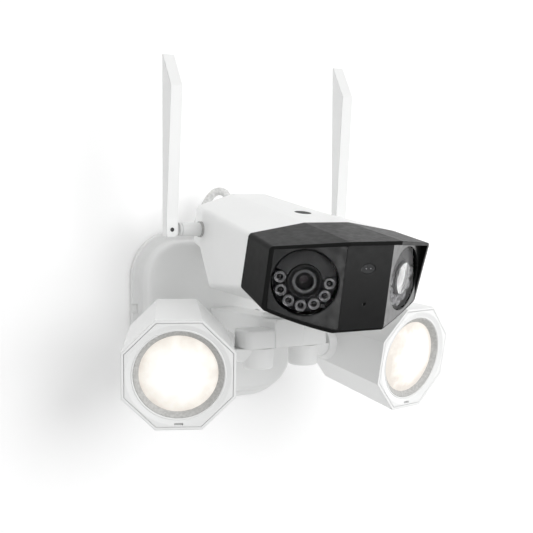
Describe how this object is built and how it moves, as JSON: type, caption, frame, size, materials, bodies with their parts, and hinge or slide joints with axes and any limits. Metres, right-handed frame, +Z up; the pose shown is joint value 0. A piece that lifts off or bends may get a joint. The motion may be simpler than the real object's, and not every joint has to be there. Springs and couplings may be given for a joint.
{
  "type": "floodlight security camera",
  "caption": "Wall-mounted security camera with a wide twin-lens head, two swivelling antennas and two aimable eight-sided floodlights on a short arm.",
  "frame": {"origin": "middle of the wall bracket, in the plane of the wall", "axes": "+Y into the wall, the camera looks along -Y, +X to the right seen from the front, +Z up"},
  "size_m": [0.2572, 0.2203, 0.2629],
  "materials": {
    "white_plastic": "satin, finely moulded",
    "black_plastic": "matte",
    "panel_plastic": "semi-gloss",
    "grey_plastic": "satin",
    "grey_rubber": "matte",
    "dark_rubber": "matte",
    "cable_sheath": "satin",
    "steel": "brushed",
    "zinc_steel": "zinc plated",
    "ring_metal": "satin",
    "reflector_chrome": "polished",
    "circuit_board": "solder mask",
    "led_board": "white solder mask",
    "window_glass": "polished",
    "lens_glass": "coated",
    "sensor_glass": "polished",
    "lamp_diffuser": "frosted"
  },
  "bodies": {
    "base": {"base_housing": "white_plastic", "wall_bracket": "zinc_steel", "wall_gasket": "grey_rubber", "base_bolts": "steel", "power_board": "circuit_board", "transformer": "black_plastic", "terminal_block": "black_plastic", "base_gland": "grey_plastic", "arm_body": "white_plastic", "arm_cover": "white_plastic", "arm_screws": "steel", "pan_screws": "steel", "head_cable": "cable_sheath"},
    "swivel": {"head_swivel": "white_plastic", "swivel_screw": "steel"},
    "head": {"head_shell": "white_plastic", "visor_hood": "black_plastic", "face_panel": "panel_plastic", "window_left": "window_glass", "window_right": "window_glass", "lens_barrels": "black_plastic", "lens_rings": "ring_metal", "lens_glasses": "lens_glass", "ir_boards": "black_plastic", "ir_leds": "reflector_chrome", "daylight_window": "sensor_glass", "mic_mesh": "steel", "roof_window": "sensor_glass", "main_board": "circuit_board", "speaker": "black_plastic", "service_cover": "white_plastic", "head_bracket": "white_plastic", "hinge_bolt": "steel", "head_gland": "grey_plastic", "head_screws": "steel", "antenna_gaskets": "dark_rubber"},
    "antenna_base_left": {"antenna_tube_left": "grey_plastic"},
    "antenna_left": {"antenna_blade_left": "white_plastic", "antenna_pin_left": "grey_plastic"},
    "lamp_arm_left": {"lamp_knuckle_left": "white_plastic", "lamp_nut_left": "steel"},
    "lamp_left": {"lamp_barrel_left": "white_plastic", "lamp_cap_left": "white_plastic", "lamp_bezel_left": "white_plastic", "lamp_seal_left": "grey_rubber", "lamp_lens_left": "lamp_diffuser", "lamp_reflector_left": "reflector_chrome", "lamp_board_left": "led_board"},
    "antenna_base_right": {"antenna_tube_right": "grey_plastic"},
    "antenna_right": {"antenna_blade_right": "white_plastic", "antenna_pin_right": "grey_plastic"},
    "lamp_arm_right": {"lamp_knuckle_right": "white_plastic", "lamp_nut_right": "steel"},
    "lamp_right": {"lamp_barrel_right": "white_plastic", "lamp_cap_right": "white_plastic", "lamp_bezel_right": "white_plastic", "lamp_seal_right": "grey_rubber", "lamp_lens_right": "lamp_diffuser", "lamp_reflector_right": "reflector_chrome", "lamp_board_right": "led_board"}
  },
  "joints": [
    {"name": "head_pan", "type": "hinge", "parent": "base", "child": "swivel", "pos_m": [0, -0.103, 0], "axis": [0, 0, 1], "range_deg": [-20, 20], "deforming": ["head_cable"]},
    {"name": "head_tilt", "type": "hinge", "parent": "swivel", "child": "head", "pos_m": [0, -0.103, 0.0178], "axis": [1, 0, 0], "range_deg": [-16, 10], "deforming": ["head_cable"]},
    {"name": "antenna_swivel_left", "type": "hinge", "parent": "head", "child": "antenna_base_left", "pos_m": [-0.06, -0.0742, 0.0714], "axis": [1, 0, 0], "range_deg": [-30, 90]},
    {"name": "antenna_fold_left", "type": "hinge", "parent": "antenna_base_left", "child": "antenna_left", "pos_m": [-0.0729, -0.0742, 0.0714], "axis": [0, -1, 0], "range_deg": [0, 90]},
    {"name": "lamp_pan_left", "type": "hinge", "parent": "base", "child": "lamp_arm_left", "pos_m": [-0.0192, -0.1065, -0.0129], "axis": [0, 0, -1], "range_deg": [-13, 22]},
    {"name": "lamp_tilt_left", "type": "hinge", "parent": "lamp_arm_left", "child": "lamp_left", "pos_m": [-0.0192, -0.1065, -0.0129], "axis": [0.9041, -0.4274, 0], "range_deg": [-4, 40]},
    {"name": "antenna_swivel_right", "type": "hinge", "parent": "head", "child": "antenna_base_right", "pos_m": [0.06, -0.0742, 0.0714], "axis": [1, 0, 0], "range_deg": [-30, 90]},
    {"name": "antenna_fold_right", "type": "hinge", "parent": "antenna_base_right", "child": "antenna_right", "pos_m": [0.0729, -0.0742, 0.0714], "axis": [0, 1, 0], "range_deg": [0, 90]},
    {"name": "lamp_pan_right", "type": "hinge", "parent": "base", "child": "lamp_arm_right", "pos_m": [0.0192, -0.1065, -0.0129], "axis": [0, 0, 1], "range_deg": [-3, 34]},
    {"name": "lamp_tilt_right", "type": "hinge", "parent": "lamp_arm_right", "child": "lamp_right", "pos_m": [0.0192, -0.1065, -0.0129], "axis": [0.9736, 0.2284, 0], "range_deg": [-4, 40]}
  ]
}
